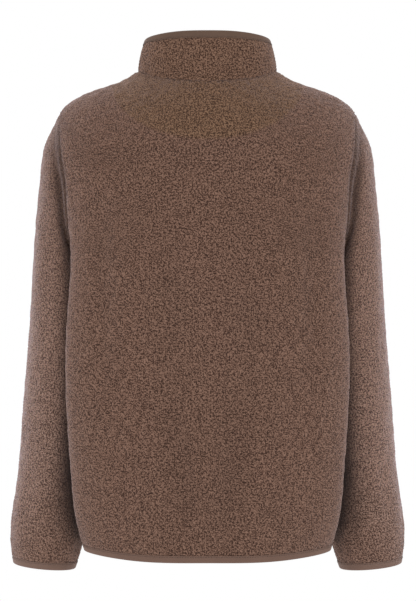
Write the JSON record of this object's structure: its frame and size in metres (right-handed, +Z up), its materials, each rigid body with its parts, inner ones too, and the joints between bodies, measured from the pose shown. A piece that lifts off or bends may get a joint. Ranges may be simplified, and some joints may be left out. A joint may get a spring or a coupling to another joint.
{
  "type": "borg fleece jacket, zipped up and filled out as worn",
  "caption": "Women's hip-length borg fleece jacket with a stand collar, set-in sleeves, bound edges and a front zip, hollow and standing as if worn.",
  "frame": {"origin": "middle of the neck at the height of the shoulders, where the wearer's shoulders carry the jacket", "axes": "+Z up, front of the jacket towards -Y, the wearer's left towards +X"},
  "size_m": [0.5462, 0.2486, 0.7317],
  "materials": {
    "borg_pile": "brown curled pile on a knitted back, matt",
    "binding": "smooth brown elastic strip, folded over the edge",
    "zip_tape": "brown woven tape",
    "zip_teeth": "brown moulded teeth",
    "slider_paint": "brown enamel on a cast slider and pull"
  },
  "bodies": {
    "jacket": {"back": "borg_pile", "front_left": "borg_pile", "front_right": "borg_pile", "sleeve_left": "borg_pile", "sleeve_right": "borg_pile", "collar": "borg_pile", "collar_binding": "binding", "hem_binding": "binding", "cuff_binding_left": "binding", "cuff_binding_right": "binding", "zip_tape_left": "zip_tape", "zip_tape_right": "zip_tape", "zip_chain": "zip_teeth", "zip_box": "zip_teeth", "zip_slider": "slider_paint"},
    "pull": {"zip_pull": "slider_paint"}
  },
  "joints": [
    {"name": "pull_swing", "type": "hinge", "parent": "jacket", "child": "pull", "pos_m": [0, -0.07781, -0.01278], "axis": [-1, 0, 0], "range_deg": [0, 170]}
  ]
}
